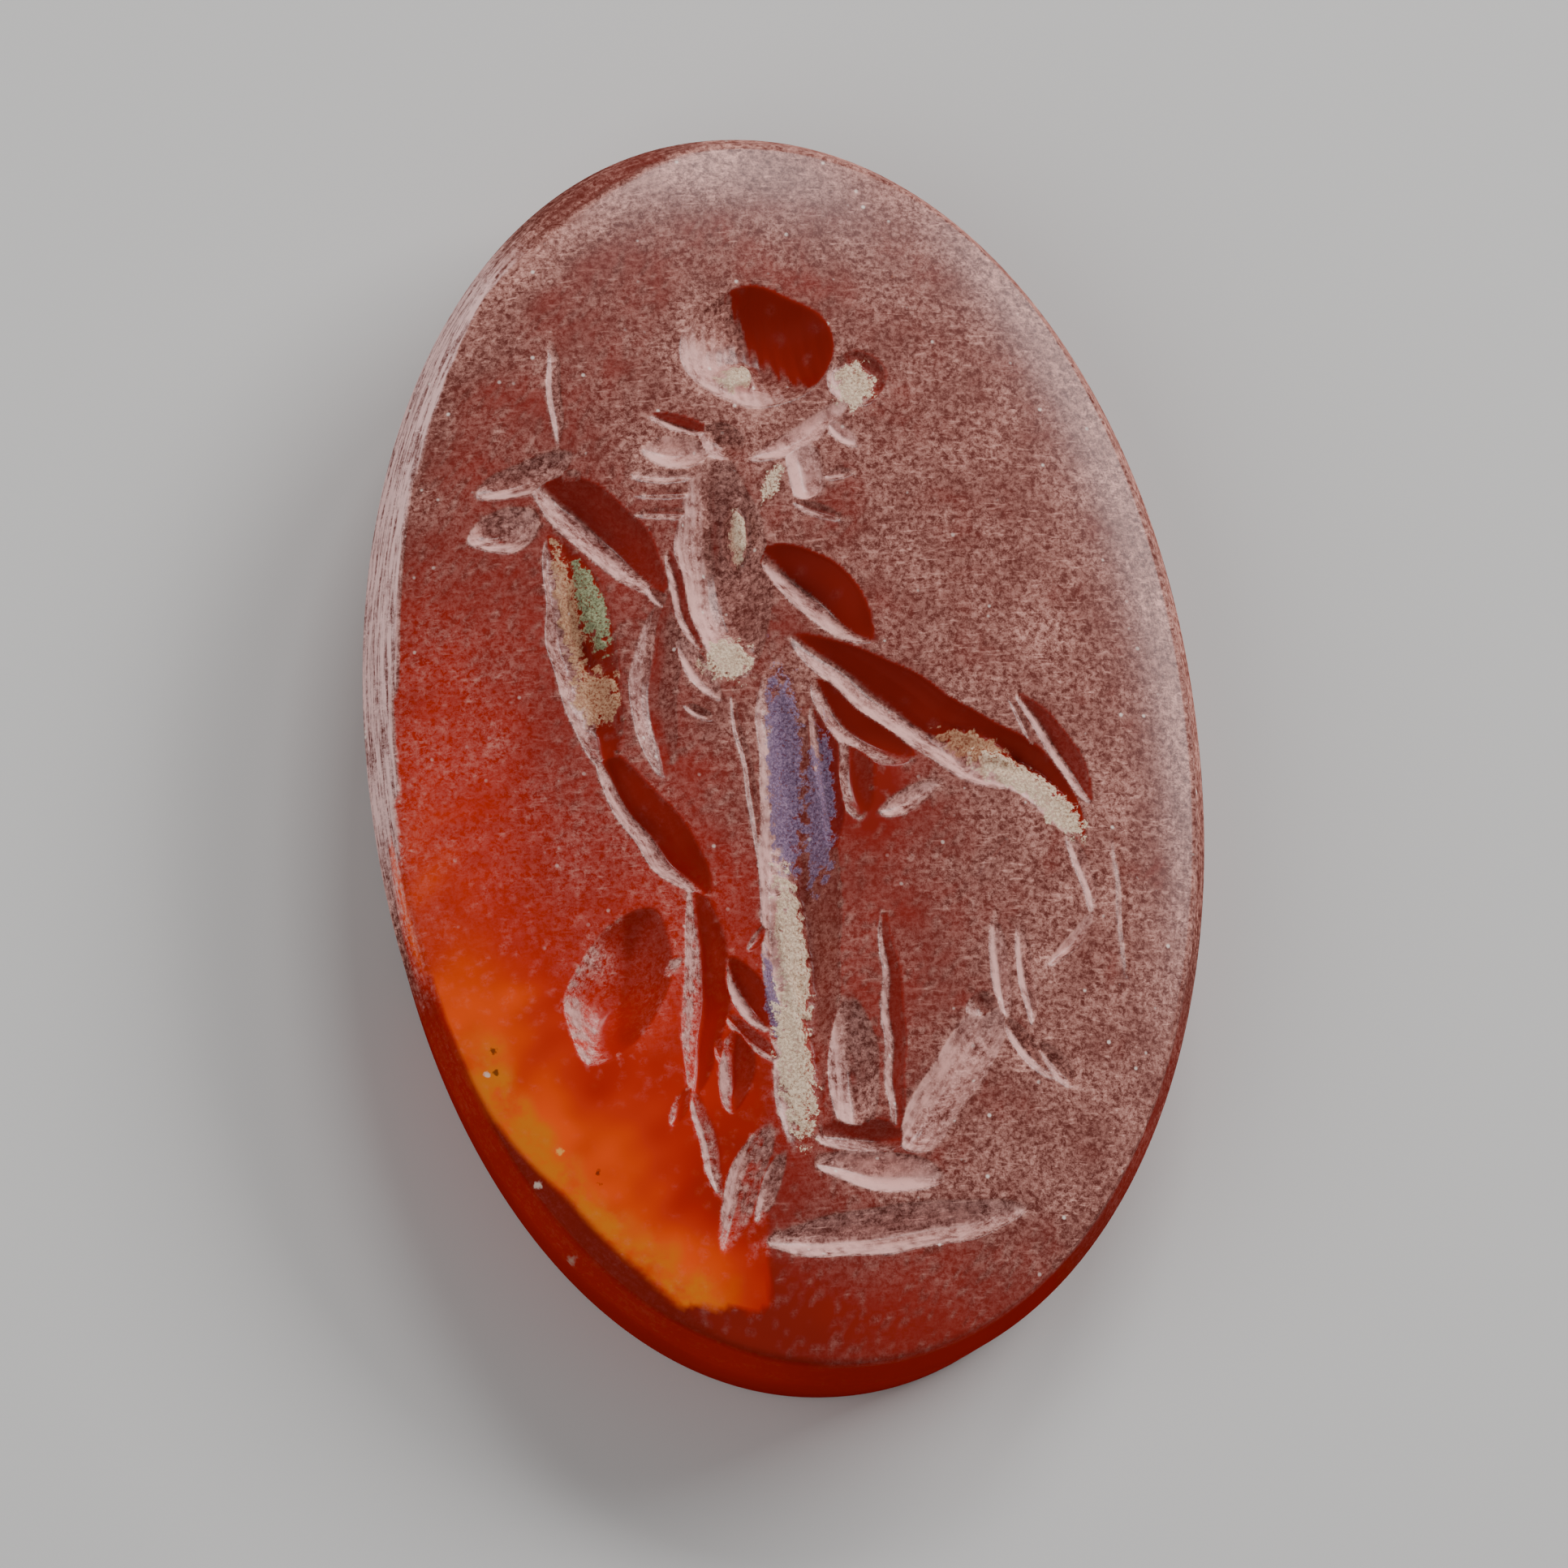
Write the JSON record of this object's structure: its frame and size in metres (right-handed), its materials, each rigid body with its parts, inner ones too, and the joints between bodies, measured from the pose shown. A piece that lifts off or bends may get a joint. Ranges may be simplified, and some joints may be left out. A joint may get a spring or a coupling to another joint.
{
  "type": "engraved ring stone",
  "caption": "Oval carnelian ring stone with a low domed face, narrow bevel and flat back, engraved in hollow relief with a standing draped figure on a ground line.",
  "frame": {"origin": "on the flat back, below the middle of the stone's outline", "axes": "+Z out of the engraved face, +Y along the stone towards the figure's head, +X to the right as one looks at the figure"},
  "size_m": [0.0088, 0.0134, 0.0022],
  "materials": {
    "carnelian": "translucent red carnelian, face worn matt with fine pale scratches, hollows polished, deposits in the hollows"
  },
  "bodies": {
    "root": {"engraved_stone": "carnelian"}
  },
  "joints": []
}
